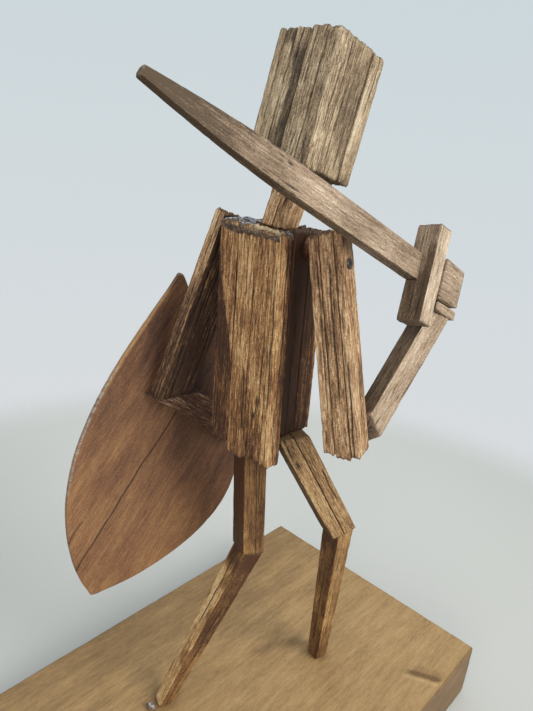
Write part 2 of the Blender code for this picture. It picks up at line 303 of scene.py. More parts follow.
def split_stick(node, look, seed, axes=None, gap=None, tone=0.0, paint=None, lean=0.0):
    """A piece of split wood in the place of one CAD stick; lean tilts its grain."""
    rnd = random.Random(seed)
    axes = axes or face_axes(node)
    u, v, long = axes
    levels = stations(node, axes, gap)
    for level, corner in enumerate(levels):
        for (su, sv), spot in corner.items():
            reach = look.grow * (1 if level == len(levels) - 1 else -1 if level == 0 else 0)
            corner[su, sv] = spot + Vector((su * look.grow, sv * look.grow, reach))
    middle = blend_corners(levels, 0.35)
    wide = (middle[1, -1] - middle[-1, -1]).x
    deep = (middle[-1, 1] - middle[-1, -1]).y
    tall = sum((levels[-1][k] - levels[0][k]).z for k in levels[0]) / 4
    ring = section(wide, deep, look.round, look.pitch)
    normals = [u * nx + v * ny for nx, ny in SIDES]
    cracks = crack_list(look, wide, deep, tall, rnd)
    shift = rnd.uniform(0, 400)
    own_tone = rnd.uniform(-1, 1) * TONE_SPREAD + tone
    origin = mean(levels[0].values())
    turn_sin, turn_cos = math.sin(lean), math.cos(lean)
    clear = tall - 2 * END_CLEAR
    count = max(4, round(clear / look.run))
    runs = list(END_RUNS) + [END_CLEAR + clear * i / count for i in range(count + 1)]
    runs += [tall - run for run in reversed(END_RUNS)]
    points, grain, wear_and_shade, cut = [], [], [], []

    def torn(x, y, at_head):
        """How far the fibres end short of the cut, in mm."""
        z = shift + (50.0 if at_head else 0.0)
        step = snoise(x * 0.55, y * 0.55, z) * 0.9 + snoise(x * 1.7, y * 1.7, z + 9) * 0.5
        return look.ragged * (step - 0.25)

    def place(x, y, nx, ny, side, run, edge, w, inset, is_cut):
        """Add one point of the side faces, w mm up the stick."""
        t = w / tall
        c = blend_corners(levels, t)
        a, b = 2 * x / wide, 2 * y / deep
        base = (c[-1, -1] * (1 - a) * (1 - b) + c[1, -1] * (1 + a) * (1 - b)
                + c[-1, 1] * (1 - a) * (1 + b) + c[1, 1] * (1 + a) * (1 + b)) / 4
        gx, gy, gz = base - origin
        gy, gz = gy * turn_cos - gz * turn_sin, gy * turn_sin + gz * turn_cos
        height, hollow = relief(look, gx, gy, gz, shift)
        for c_side, c_run, start, end, width, depth, phase in cracks:
            if side != c_side or not start < w < end:
                continue
            line = c_run + 0.35 * snoise(w * 0.13, phase, 0.0) + 0.12 * snoise(w * 0.7, phase, 5)
            near = (run - line) / width
            if abs(near) < 2.5:
                deepness = math.exp(-near * near) * lie(w, start, end)
                height -= depth * deepness
                hollow = max(hollow, deepness)
        bite = max(0.0, snoise(w * 0.45 + shift, side * 5.0, x * 0.1)) ** 1.5
        height -= edge * look.chip * (0.25 + 2.2 * bite)
        height -= inset
        near_foot = max(0.0, 1.0 - w / TEAR_REACH) ** 2
        near_head = max(0.0, 1.0 - (tall - w) / TEAR_REACH) ** 2
        slip = min(torn(x, y, False) * near_foot - torn(x, y, True) * near_head, w + 1.0)
        point = u * base.x + v * base.y + long * (base.z + slip)
        point += (u * nx + v * ny) * height
        points.append(point)
        spot_tone, spot_cut, spot_hollow = 0.0, 0.0, 0.0
        if paint:
            centre = (c[-1, -1] + c[1, -1] + c[-1, 1] + c[1, 1]) / 4
            off = u * (base.x - centre.x) + v * (base.y - centre.y)
            marks = paint(normals[side], off, t, base - origin)
            marks = marks if isinstance(marks, tuple) else (marks, 0.0, 0.0)
            spot_tone, spot_cut, spot_hollow = marks
        grain.append((gx + shift, gy + shift * 0.37, gz + shift * 1.9))
        wear_and_shade.append((max(hollow, spot_hollow), edge * (0.4 + bite), own_tone + spot_tone))
        cut.append(max(is_cut, spot_cut) if spot_cut >= 0.0 else 0.0)

    size = len(ring)
    for w in runs:
        near_end = min(w, tall - w)
        inset = look.round * 0.9 * max(0.0, 1.0 - near_end / RIM_ROUND) ** 2
        share = max(0.0, 1.0 - near_end / RIM_COLOUR)
        for x, y, nx, ny, side, run, edge in ring:
            place(x, y, nx, ny, side, run, edge, w, inset, share)
    faces = tube(len(runs), size)
    for at_head in (False, True):
        rim = (len(runs) - 1) * size if at_head else 0
        outer = list(range(rim, rim + size))
        axis_point = mean(points[index] for index in outer)
        end_mid = [sum(grain[index][k] for index in outer) / size for k in range(3)]
        for f in END_SHARES:
            inner = []
            for i, (x, y, *_) in enumerate(ring):
                inner.append(len(points))
                rim_point = points[rim + i]
                bumpy = torn(x * f, y * f, at_head) - torn(x, y, at_head)
                rough = 0.1 * look.ragged * snoise(x * f * 4, y * f * 4, shift)
                move = long * ((bumpy + rough) * (-1 if at_head else 1))
                points.append(axis_point.lerp(rim_point, f) + move)
                near = grain[rim + i]
                grain.append(tuple(m + (g - m) * f for g, m in zip(near, end_mid)))
                pit = max(0.0, bumpy / max(look.ragged, 0.01)) * 0.6
                wear_and_shade.append((min(1.0, pit), 0.0, own_tone))
                cut.append(1.0)
            for i in range(size):
                k = (i + 1) % size
                quad = (outer[i], outer[k], inner[k], inner[i])
                faces.append(quad if at_head else quad[::-1])
            outer = inner
        centre = len(points)
        points.append(mean(points[index] for index in outer))
        grain.append(tuple(end_mid))
        wear_and_shade.append((0.3, 0.0, own_tone))
        cut.append(1.0)
        for i in range(size):
            tri = (outer[i], outer[(i + 1) % size], centre)
            faces.append(tri if at_head else tri[::-1])
    obj = make_mesh(node + "_wood", points, faces, grain, wear_and_shade, cut, look.material)
    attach(obj, BODY)
    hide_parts(node)


# ---- materials
class Nodes:
    """Small helper that adds and links the nodes of a material or a world."""

    def __init__(self, tree):
        self.tree = tree

    def feed(self, socket, value):
        """Link or set a socket."""
        if isinstance(value, bpy.types.NodeSocket):
            self.tree.links.new(value, socket)
        else:
            socket.default_value = value

    def node(self, kind, inputs=None, **settings):
        made = self.tree.nodes.new("ShaderNode" + kind)
        for key, value in settings.items():
            setattr(made, key, value)
        for key, value in (inputs or {}).items():
            self.feed(made.inputs[key], value)
        return made

    def math(self, operation, a, b=0.0, c=0.0):
        return self.node("Math", {0: a, 1: b, 2: c}, operation=operation).outputs[0]

    def attribute(self, name, kind="Vector"):
        return self.node("Attribute", attribute_name=name,
                         attribute_type="GEOMETRY").outputs[kind]

    def split(self, vector):
        """The three parts of a vector."""
        return self.node("SeparateXYZ", {0: vector}).outputs

    def stretch(self, vector, scale):
        """The vector with each axis scaled."""
        return self.node("VectorMath", {0: vector, 1: scale}, operation="MULTIPLY").outputs[0]

    def noise(self, vector, scale, detail=4.0, rough=0.55, distort=0.0):
        return self.node("TexNoise", {"Vector": vector, "Scale": scale, "Detail": detail,
                                      "Roughness": rough, "Distortion": distort}).outputs["Fac"]

    def ramp(self, value, stops):
        """Colour that runs through (value, colour) stops."""
        made = self.node("ValToRGB", {"Fac": value})
        band = made.color_ramp
        while len(band.elements) < len(stops):
            band.elements.new(0.5)
        for element, (place, colour) in zip(band.elements, stops):
            element.position = place
            element.color = (*colour, 1.0)
        return made.outputs["Color"]

    def between(self, value, low, high):
        """0 below low, 1 above high, smooth between."""
        made = self.node("MapRange", {"Value": value, "From Min": low, "From Max": high},
                         interpolation_type="SMOOTHSTEP")
        return made.outputs["Result"]

    def mix(self, amount, a, b):
        """Colour a, or b where the amount is 1."""
        made = self.node("Mix", data_type="RGBA")
        for socket, value in ((0, amount), (6, a), (7, b)):
            plain = not isinstance(value, bpy.types.NodeSocket)
            self.feed(made.inputs[socket], (*value, 1.0) if plain else value)
        return made.outputs[2]

    def bump(self, strength, height):
        """Normal of a surface with fine relief."""
        return self.node("Bump", {"Strength": strength, "Distance": BUMP_DEEP,
                                  "Height": height}).outputs["Normal"]


class Shade(Nodes):
    """A new material with its shader."""

    def __init__(self, name):
        self.material = bpy.data.materials.new(name)
        self.material.use_nodes = True
        super().__init__(self.material.node_tree)
        self.shader = self.tree.nodes["Principled BSDF"]

    def out(self, **sockets):
        """Set or link sockets of the shader."""
        for key, value in sockets.items():
            self.feed(self.shader.inputs[key.replace("_", " ")], value)


CRACK_COLOUR = (0.016, 0.009, 0.005)
BUMP_DEEP = 0.0002  # metres of relief in the bump of every material


def wood(name, dark, mid, light, pale, streak=1.0, fibre=1.0, blotch=0.6, speck=1.0, pore=0.75,
         end=None, rough=(0.58, 0.8), bump=0.6, coarse=1.0):
    """Stained wood with its grain along the third axis of the 'grain' attribute.

    The four colours run from the deepest stain to bare wood, end is its end grain. streak,
    fibre, blotch and speck say how strong each layer of grain is, from broad to fine.
    """
    shade = Shade(name)
    grain, cut = shade.attribute("grain"), shade.attribute("cut", "Fac")
    hollow, edge, tone = shade.split(shade.attribute("wear_and_shade"))

    broad = shade.noise(shade.stretch(grain, (coarse, coarse, 0.05)), 0.75, 5.0, 0.62, 0.4)
    thin = shade.noise(shade.stretch(grain, (coarse, coarse, 0.035)), 3.0, 4.0, 0.65)
    short = shade.noise(shade.stretch(grain, (1.0, 1.0, 0.17)), 2.7, 4.0, 0.68)
    patch = shade.noise(shade.stretch(grain, (1.0, 1.0, 0.45)), 0.17, 3.0, 0.5)
    grit = shade.noise(shade.stretch(grain, (1.0, 1.0, 0.6)), 4.2, 3.0, 0.65)

    value = 0.5
    for part, share in ((broad, 1.25 * streak), (thin, 1.5 * fibre), (short, 1.5 * fibre),
                        (patch, 1.4 * blotch), (grit, 1.25 * speck)):
        value = shade.math("MULTIPLY_ADD", shade.math("SUBTRACT", part, 0.5), share, value)
    value = shade.math("ADD", value, tone)
    colour = shade.ramp(value, [(0.0, dark), (0.3, [(a + b) / 2 for a, b in zip(dark, mid)]),
                                (0.5, mid), (0.78, light), (1.0, pale)])
    pores = shade.math("MULTIPLY", shade.between(thin, 0.58, 0.68), pore)
    colour = shade.mix(pores, colour, dark)
    dry = shade.between(shade.math("MULTIPLY", edge, shade.math("ADD", thin, 0.25)), 0.42, 0.95)
    colour = shade.mix(shade.math("MULTIPLY", dry, 0.4), colour, pale)
    end = end or [c * 0.75 for c in mid]
    end_dark = [c * 0.35 for c in end]
    end_colour = shade.mix(shade.between(grit, 0.38, 0.62), end_dark, end)
    colour = shade.mix(shade.math("MULTIPLY", cut, 0.85), colour, end_colour)
    sunk = shade.between(hollow, 0.12, 0.85)
    colour = shade.mix(shade.math("MULTIPLY", sunk, 0.88), colour, CRACK_COLOUR)
    roughness = shade.math("MULTIPLY_ADD", thin, rough[1] - rough[0], rough[0])
    tall = shade.math("MULTIPLY_ADD", thin, -1.0, shade.math("ADD", short, grit))
    shade.out(Base_Color=colour, Roughness=roughness, Normal=shade.bump(bump, tall))
    shade.shader.inputs["Specular IOR Level"].default_value = 0.32
    return shade.material


HEAD_WOOD = wood(
    "head_wood", (0.04, 0.027, 0.015), (0.235, 0.165, 0.096), (0.42, 0.325, 0.205),
    (0.58, 0.48, 0.335), streak=0.7, blotch=0.9)
BODY_WOOD = wood(
    "body_wood", (0.04, 0.015, 0.006), (0.24, 0.112, 0.042), (0.45, 0.262, 0.108),
    (0.64, 0.45, 0.235), streak=0.8, fibre=1.2, blotch=0.8, end=(0.115, 0.072, 0.046))
ARM_WOOD = wood(
    "arm_wood", (0.042, 0.019, 0.01), (0.27, 0.147, 0.068), (0.45, 0.287, 0.15),
    (0.64, 0.475, 0.295), streak=0.8, fibre=1.2, blotch=0.8)
DARK_WOOD = wood(
    "dark_wood", (0.012, 0.005, 0.003), (0.062, 0.026, 0.014), (0.14, 0.074, 0.04),
    (0.32, 0.205, 0.12), streak=0.8, blotch=0.7)
CRAFT_WOOD = wood(
    "craft_wood", (0.07, 0.044, 0.023), (0.26, 0.184, 0.121), (0.4, 0.31, 0.218),
    (0.6, 0.49, 0.365), streak=0.4, fibre=0.7, blotch=0.6, speck=0.8, pore=0.35, bump=0.35)
LEG_WOOD = wood(
    "leg_wood", (0.053, 0.021, 0.008), (0.236, 0.123, 0.042), (0.385, 0.235, 0.095),
    (0.6, 0.43, 0.22), streak=0.6, blotch=0.7, fibre=0.7, pore=0.3, bump=0.35)
PALE_LEG_WOOD = wood(
    "pale_leg_wood", (0.05, 0.024, 0.01), (0.255, 0.143, 0.062), (0.375, 0.248, 0.118),
    (0.49, 0.365, 0.2), streak=0.5, blotch=0.5, pore=0.4)
SHIELD_WOOD = wood(
    "shield_wood", (0.034, 0.016, 0.013), (0.168, 0.08, 0.038), (0.272, 0.15, 0.062),
    (0.395, 0.252, 0.108), streak=0.3, fibre=0.38, blotch=0.28, speck=0.6, pore=0.0, bump=0.22,
    rough=(0.45, 0.62), end=(0.42, 0.38, 0.32))
BOARD_WOOD = wood(
    "board_wood", (0.13, 0.075, 0.03), (0.3, 0.19, 0.08), (0.39, 0.265, 0.125), (0.5, 0.375, 0.21),
    streak=0.4, fibre=0.4, blotch=0.22, speck=0.4, pore=0.0, bump=0.1, rough=(0.45, 0.6),
    coarse=0.3, end=(0.26, 0.16, 0.075))

HEAD = Look(HEAD_WOOD, ragged=0.45, cracks=1, furrow=0.16, fibre=0.06, round=0.3, grow=0.02)
TORSO = Look(BODY_WOOD, furrow=0.18, fibre=0.06, ragged=0.8, cracks=2, grow=0.07)
ARM = Look(ARM_WOOD, wave=0.08, furrow=0.2, fibre=0.07, chip=0.16, ragged=0.7, cracks=2, grow=0.07)
DARK = Look(DARK_WOOD, wave=0.1, furrow=0.18, ragged=0.5, cracks=1)
CRAFT = Look(
    CRAFT_WOOD, wave=0.03, furrow=0.03, fibre=0.02, round=0.18, chip=0.06, ragged=0.15, cracks=0)
LEG, LEG_PALE = (Look(material, wave=0.05, furrow=0.06, fibre=0.03, chip=0.12, ragged=0.2,
                      cracks=1, crack_deep=0.3) for material in (LEG_WOOD, PALE_LEG_WOOD))
SHIELD = Look(
    SHIELD_WOOD, wave=0.08, furrow=0.0, fibre=0.02, round=0.3, chip=0.1, ragged=0.2, cracks=0,
    pitch=0.36, run=0.6, grow=0.0)
BOARD = Look(
    BOARD_WOOD, wave=0.08, furrow=0.0, fibre=0.02, round=0.8, chip=0.08, ragged=0.1, cracks=0,
    pitch=1.2, run=1.2, dense=0.4, grow=0.0)

LOOKS = (
    (HEAD, ("head_row",)), (TORSO, ("torso",)), (ARM, ("neck", "upper_arm")),
    (DARK, ("forearm_left",)), (CRAFT, ("forearm_right", "sword_guard", "hand")),
    (LEG, ("shin", "thigh_left")), (LEG_PALE, ("thigh_right",)))

# lighter or darker pieces, from the darkest stain (-) to the bare wood (+)
TONES = {
    "torso_back_3": 0.08, "torso_back_4": 0.16, "upper_arm_right_1": 0.13,
    "upper_arm_right_2": 0.12, "upper_arm_right_3": 0.16, "head_row1_1": 0.1, "head_row1_3": 0.06,
    "head_row1_4": 0.1, "head_row1_5": 0.14, "head_row2_2": -0.04, "neck_1": 0.22, "neck_2": 0.2,
    "thigh_left": -0.12, "hand_right": -0.02, "hand_thumb_strip": -0.08, "forearm_right": 0.22}


def ease(value, low, high):
    """0 below low, 1 above high, smooth between."""
    f = min(1.0, max(0.0, (value - low) / (high - low)))
    return f * f * (3.0 - 2.0 * f)


def near_line(points, along, across):
    """Distance of a spot to a line through (along, across) points, None past its ends."""
    for (a0, c0), (a1, c1) in zip(points, points[1:]):
        if (a0 - along) * (a1 - along) <= 0.0 and a0 != a1:
            return across - (c0 + (c1 - c0) * (along - a0) / (a1 - a0))
    return None


# ---- stains, marks, painted shade and painted light
# A paint function gets the outward direction of a side, and a spot on it: its offset from the
# stick's axis, the share t of the way from the foot to the head, and its place from the foot.
# It returns a tone to add, alone or with a share of end-grain colour (negative for none) and
# a hollow.
# several paints darken or lighten sides with painted shade or painted light, as each docstring
# says
def on_back(facing):
    """Whether a side is turned to the warrior's back."""
    return facing.y > 0.5


def on_right(facing):
    """Whether a side is turned to the warrior's own right."""
    return facing.x < -0.5


sword_axes = line_axes("sword_blade")


def blade_paint(facing, off, t, spot):
    """Darker towards the far end, darkest at the tip, with painted shade on the lower side."""
    # painted shade on the sides that face downwards
    under = ease(-facing.z, 0.2, 0.7)
    far = t if sword_axes[2].y > 0 else 1.0 - t
    tip = ease(far, 0.93, 0.99)
    return -0.12 * ease(far, 0.1, 0.5) - 0.42 * ease(far, 0.45, 0.8) - 0.26 * under - 0.5 * tip


def guard_paint(facing, off, t, spot):
    """Painted light on the right side; the back is darker below the blade and along its right
    edge.
    """
    # painted light on the right side
    if facing.x < -0.7:
        return 0.22
    low = ease(0.55 - t, 0.0, 0.12)
    edge = ease(-off.x, 0.2, 1.6) * ease(0.88 - t, 0.0, 0.2)
    return -0.02 - 0.3 * low - 0.42 * edge


def forearm_paint(facing, off, t, spot):
    """Stained back side, darkest under the hand, where painted shade adds to the stain; bare outer
    side.
    """
    if t < 0.02:
        return -0.16, -1.0, 0.0
    # the back side's stain, with painted shade deepening it under the hand
    if facing.x > 0.0 and facing.y > 0.3:
        return -0.57 - 0.36 * ease(t, 0.68, 0.92)
    return -0.16


def first_strip_paint(facing, off, t, spot):
    """Painted shade that starts at the outer arris below the shoulder and widens downwards."""
    # painted shade: a wedge from the outer arris that widens downwards
    reach = 6.4 * ease(0.92 - t, 0.0, 0.62) + 0.35 * snoise(spot.z * 0.6, 4.0, 1.0)
    inside = 2.85 - off.x if on_back(facing) else 0.0
    painted_shade = ease(reach - inside, -0.3, 0.5) * ease(0.9 - t, 0.0, 0.06)
    return 0.06 - (0.42 + 0.3 * ease(t, 0.15, 0.6)) * painted_shade


def back_paint(facing, off, t, spot):
    """A little darker below."""
    return 0.05 - 0.2 * ease(0.45 - t, 0.0, 0.4)


def last_strip_paint(facing, off, t, spot):
    """Bare back; painted shade darkens the other sides away from it."""
    if on_back(facing):
        return 0.08
    # painted shade of the right arm on the side faces
    return 0.02 - 0.45 * ease(-off.y, 0.2, 1.2)


def outer_front_paint(facing, off, t, spot):
    """Painted shade, nearly black towards the slot, lighter on the outer side's lower front."""
    if on_back(facing):
        # painted shade of the slot
        return -0.9
    if on_right(facing):
        # painted shade on the outer side, lifted where light reaches its lower front
        return -0.58 + 0.5 * ease(-off.y, 0.9, 2.3) * ease(0.75 - t, 0.0, 0.3)
    return 0.0


def shaded_sides(dark, rest):
    """Paint for a piece whose back and right sides are nearly black with painted shade."""
    def paint(facing, off, t, spot):
        return dark if on_back(facing) or on_right(facing) else rest
    return paint


def far_side(name):
    """Direction of a stick's side that faces forward, and how far it stands off the middle."""
    axis = min(face_axes(name)[:2], key=lambda v: -abs(v.y))
    axis = axis if axis.y < 0.0 else -axis
    reach = [p.dot(axis) for p in node_points(name)]
    return axis, (max(reach) - min(reach)) / 2


ROW_FAR, ROW_HALF = far_side("head_row2_2")


def head_second_paint(facing, off, t, spot):
    """Dark just below the crown."""
    return -0.36 * ease(t, 0.86, 0.92)


def head_stain_paint(facing, off, t, spot):
    """Long dark stain along the right side of the third strip."""
    if not on_back(facing):
        return 0.0
    edge = 0.15 + 0.6 * ease(t, 0.5, 0.8) + 0.3 * snoise(spot.z * 0.5, 2.0, 6.0)
    inside = ease(edge - off.x, -0.2, 0.5)
    length = ease(t, 0.02, 0.12) * ease(0.86 - t, 0.0, 0.05)
    return -0.34 * inside * length


def head_gap_shade_paint(facing, off, t, spot):
    """Painted shade of the gap to the next row, wide and brown, along the far edge of the outer
    side.
    """
    if not on_right(facing):
        return 0.0
    # painted shade of the gap between the rows, also carried as a hollow
    gap_shade = ease(off.dot(ROW_FAR), ROW_HALF - 0.55, ROW_HALF - 0.3)
    return -0.06 - 0.3 * gap_shade, 0.0, 0.5 * gap_shade


def head_light_paint(facing, off, t, spot):
    """Bare, with a dark foot."""
    return 0.16 - 0.25 * ease(0.1 - t, 0.0, 0.1)


def foot_of(name, up):
    """Middle of the end of a CAD stick that is lowest along a direction."""
    points = node_points(name)
    low = min(p.dot(up) for p in points)
    return mean(p for p in points if p.dot(up) < low + 0.5)


# marks on the board's top, in mm from its middle: painted contact shadows round the feet (place,
# reach), a short gouge and a dark band beside the right foot (points along their middle lines)
BOARD_FOOT_SHADOWS = ((foot_of("shin_left", UP), 7.0), (foot_of("shin_right", UP), 5.5))
BOARD_GOUGE = ((-33.0, -43.5), (-38.0, -46.0), (-43.4, -48.6))
BOARD_DARK_BAND = ((-29.0, -3.0), (-20.0, 2.0), (-10.5, 5.0))
BOARD_NEAR = min(p.y for p in node_points("base_board"))


def board_paint(facing, off, t, spot):
    """Top: painted contact shadows round the feet, a dark band beside them, a gouge near its edge.
    """
    if facing.z <= 0.5:
        return -0.42
    x, y = off.x, BOARD_NEAR + spot.z
    # painted shade: the top darkens towards the warrior's left
    tone = -0.05 * ease(x, -10.0, 20.0) - 0.16 * ease(x, 8.0, 40.0)
    for foot, reach in BOARD_FOOT_SHADOWS:
        away = math.hypot(x - foot.x, y - foot.y)
        # painted contact shadow round each foot
        tone -= 0.3 * ease(reach - away, 0.0, reach)
    side = near_line(BOARD_GOUGE, x, y)
    if side is not None:
        fade = ease(-x, 32.5, 35.0)
        tone -= 0.6 * ease(1.5 - abs(side), 0.0, 1.3) * fade
        tone -= 0.14 * ease(4.0 - abs(side + 1.0), 0.0, 2.5) * fade
        tone += 0.22 * ease(1.2 - abs(side - 2.2), 0.0, 1.0) * fade
    side = near_line(BOARD_DARK_BAND, y, x)
    if side is not None:
        fade = ease(y, -29.0, -25.0) * ease(-y, 10.0, 14.0)
        tone -= 0.22 * ease(3.2 - abs(side), 0.0, 3.0) * fade
    return tone


def arm_left_paint(facing, off, t, spot):
    """Golden back face darkening to the elbow, a painted highlight on its ridge, inner sides in
    painted shade.
    """
    if on_back(facing):
        # painted highlight along the ridge of the back face
        ridge = ease(-off.x, 1.35, 1.75)
        fibres = ease(snoise(spot.z * 0.8, 2.0, off.x), -0.2, 0.3)
        return 0.06 - 0.38 * ease(0.92 - t, 0.0, 0.62) + 0.45 * ridge * fibres
    # painted shade on the inner sides
    return -0.5 if on_right(facing) else -0.05


def thigh_paint(facing, off, t, spot):
    """Back side dark with stain and painted shade from the body; darker towards the hip."""
    # stain and painted shade from the body on the back side
    return (-0.62 if on_back(facing) else -0.08) - 0.15 * ease(t, 0.6, 0.9)


def thigh_right_paint(facing, off, t, spot):
    """Stained back side, bare outer side with a dark patch near the top."""
    if on_back(facing):
        return -0.5
    dark_patch = ease(2.4 - Vector((off.x, off.y, (t - 0.94) * 40.0)).length, 0.0, 1.2)
    return 0.04 - 0.55 * dark_patch


def shin_left_paint(facing, off, t, spot):
    """Pale weathered back side, brown outer side, painted shade below the knee."""
    # painted shade below the knee
    knee_shade = ease(t, 0.84, 0.93)
    if on_back(facing):
        marks = ease(snoise(spot.z * 0.16, off.x * 0.3, 7.0), 0.12, 0.3)
        return 0.26 - 0.34 * marks - 0.76 * knee_shade
    return -0.36 - 0.28 * knee_shade + 0.1 * ease(0.5 - t, 0.0, 0.3)


def shin_right_paint(facing, off, t, spot):
    """Back side darkened by painted shade, deepest below the knee; bare outer side."""
    if on_back(facing):
        # painted shade on the back side, deepest below the knee
        return -0.33 - 0.3 * ease(t, 0.8, 0.97)
    return -0.05 - 0.1 * ease(0.5 - t, 0.0, 0.4)


# cracks of the shield: points (mm up its axis, mm towards the back edge), half width
SHIELD_CRACKS = (
    (((58.0, -10.9), (55.0, -9.9), (47.0, -7.3), (39.1, -4.0), (23.7, 1.1), (10.3, 5.8),
      (7.5, 6.6)), 0.26),
    (((21.4, 8.6), (18.8, 9.9), (15.0, 10.8)), 0.22),
    (((13.5, 9.6), (10.8, 10.4)), 0.2),
)
shield_axes = line_axes("shield")
TO_BACK = 1.0 if shield_axes[1].y > 0.0 else -1.0


def shield_outline():
    """Heights up the shield, and how far its back edge stands off its foot there."""
    spots = [(p.dot(shield_axes[2]), p.dot(shield_axes[1]) * TO_BACK)
             for p in node_points("shield")]
    low = min(spots)[0]
    foot = [across for along, across in spots if along < low + 0.5]
    middle = (min(foot) + max(foot)) / 2
    heights = sorted({round(along - low, 1) for along, _ in spots})
    reach = [max(across - middle for along, across in spots if abs(along - low - height) < 0.4)
             for height in heights]
    return heights, reach


def arm_on_shield(node):
    """The line of the arm that is glued to the shield, up and across it."""
    _, v, long = shield_axes
    foot, arm = foot_of("shield", long), by_height(node)
    ends = [mean(group) - foot for group in (arm[:4], arm[-4:])]
    return [(p.dot(long), p.dot(v) * TO_BACK) for p in ends]


SHIELD_HEIGHTS, SHIELD_REACH = shield_outline()
ARM_ON_SHIELD = arm_on_shield("upper_arm_left_1")


def shield_paint(facing, off, t, spot):
    """Soft stains, cracks, a pale chipped rim in the middle and a worn edge above it; painted
    shade and shadow.
    """
    along, across = spot.z, spot.y * TO_BACK
    hollow = 0.0
    for points, width in SHIELD_CRACKS:
        aside = near_line(points, along, across + 0.22 * snoise(along * 0.22, 3.0, 8.0))
        if aside is not None:
            hollow = max(hollow, math.exp(-(aside / width) ** 2))
    inside = float(np.interp(along, SHIELD_HEIGHTS, SHIELD_REACH)) - across
    broken = ease(snoise(along * 0.7, 0.0, 5.0) + 0.8 * snoise(along * 2.1, 0.0, 9.0), -0.5, 0.3)
    rim = ease(0.62 - inside, 0.0, 0.4) * broken * ease(t, 0.28, 0.36) * ease(0.74 - t, 0.0, 0.1)
    worn = ease(0.95 - inside, 0.0, 0.6) * ease(t, 0.58, 0.7) * ease(0.97 - t, 0.0, 0.04)
    # painted shade from the body, deepening up the shield
    tone = 0.03 - 0.04 * ease(t, 0.12, 0.4) - 0.13 * ease(t, 0.4, 0.8)
    # painted shade from the body towards the front edge
    tone -= 0.24 * ease(-across, 4.0, 20.0) * ease(t, 0.2, 0.5)
    tone += 0.1 * snoise(along * 0.05, across * 0.1, 12.0)
    tone += 0.07 * snoise(along * 0.02, across * 0.5, 3.0) + 0.4 * worn
    # painted shadow of the upper arm beside its line
    beside = near_line(ARM_ON_SHIELD, along, across)
    if beside is not None:
        tone -= 0.13 * ease(6.0 - abs(beside - 1.5), 0.0, 5.0)
    return tone, 0.85 * rim, hollow


PAINTED = (
    (guard_paint, "sword_guard"), (forearm_paint, "forearm_right"),
    (first_strip_paint, "torso_back_1"), (back_paint, "torso_back_2 torso_back_3"),
    (last_strip_paint, "torso_back_4"), (outer_front_paint, "torso_front_3"),
    # painted shade in the slot beside the right arm
    (shaded_sides(-0.95, 0.0), "torso_front_1 torso_front_2 torso_middle_1 torso_middle_2"),
    (arm_left_paint, "upper_arm_left_1"),
    # painted shade on the left arm's inner sides
    (shaded_sides(-0.62, -0.05), "upper_arm_left_2 upper_arm_left_3"),
    (head_second_paint, "head_row1_2"), (head_stain_paint, "head_row1_3"),
    (head_gap_shade_paint, "head_row2_2"), (head_light_paint, "head_row3_4"),
    (thigh_paint, "thigh_left"), (thigh_right_paint, "thigh_right_1 thigh_right_2"),
    (shin_left_paint, "shin_left"), (shin_right_paint, "shin_right"))
PAINTS = {node: paint for paint, nodes in PAINTED for node in nodes.split()}

# ---- all wooden pieces
STICK_SEED, BLADE_SEED, SHIELD_SEED, BOARD_SEED = 100, 71, 72, 73
CURVE_GAP = 1.5  # mm between the corners of two sections of a curve
SHIELD_LEAN = math.radians(-19.0)  # of its grain, against its long axis

for number, node in enumerate(sorted(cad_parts)):
    for look, starts in LOOKS:
        if node.startswith(starts):
            own_axes = face_axes(node, sword_axes[2]) if node == "hand_right" else None
            split_stick(node, look, STICK_SEED + number, own_axes, tone=TONES.get(node, 0.0),
                        paint=PAINTS.get(node))
split_stick("sword_blade", CRAFT, BLADE_SEED, sword_axes, CURVE_GAP, paint=blade_paint)
split_stick("shield", SHIELD, SHIELD_SEED, shield_axes, CURVE_GAP, paint=shield_paint,
            lean=SHIELD_LEAN * TO_BACK)
split_stick("base_board", BOARD, BOARD_SEED, face_axes("base_board", BACK), paint=board_paint)


# ---- glue and brad
def blob(name, centre, half, seed, material, sink, lumps=0.3):
    """An irregular smear of dried glue; sink stretches its underside into the wood below."""
    bpy.ops.mesh.primitive_ico_sphere_add(subdivisions=5, radius=1.0)
    obj = bpy.context.object
    obj.name = obj.data.name = name
    for vert in obj.data.vertices:
        p = vert.co.normalized()
        lobes = 1.0 + lumps * snoise(p.x * 1.6 + seed, p.y * 1.6, p.z)
        lobes += lumps * 0.5 * snoise(p.x * 4.5 + seed, p.y * 4.5, p.z * 2)
        down = sink if p.z < 0.0 else 1.0 + 0.5 * snoise(p.x * 7 + seed, p.y * 7, 2.0)
        spot = Vector((p.x * half.x, p.y * half.y, p.z * half.z * down)) * lobes
        vert.co = (centre + spot) * MM
    obj.data.shade_smooth()
    obj.data.materials.append(material)
    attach(obj, BODY)
    return obj


def clouded(name, scale, stops, rough, bump=None, dust=None):
    """Clouds of colour; rough is how far they change the roughness, and its least value."""
    shade = Shade(name)
    place = shade.node("TexCoord").outputs["Object"]
    cloud = shade.noise(place, scale, 4.0, 0.6)
    colour, shine = shade.ramp(cloud, stops), cloud
    if dust:
        shine = shade.noise(place, dust, 3.0, 0.6)
        colour = shade.mix(shade.between(shine, 0.5, 0.6), colour, (0.05, 0.028, 0.016))
    shade.out(Base_Color=colour, Roughness=shade.math("MULTIPLY_ADD", shine, *rough))
    if bump:
        shade.out(Normal=shade.bump(bump, cloud))
    return shade


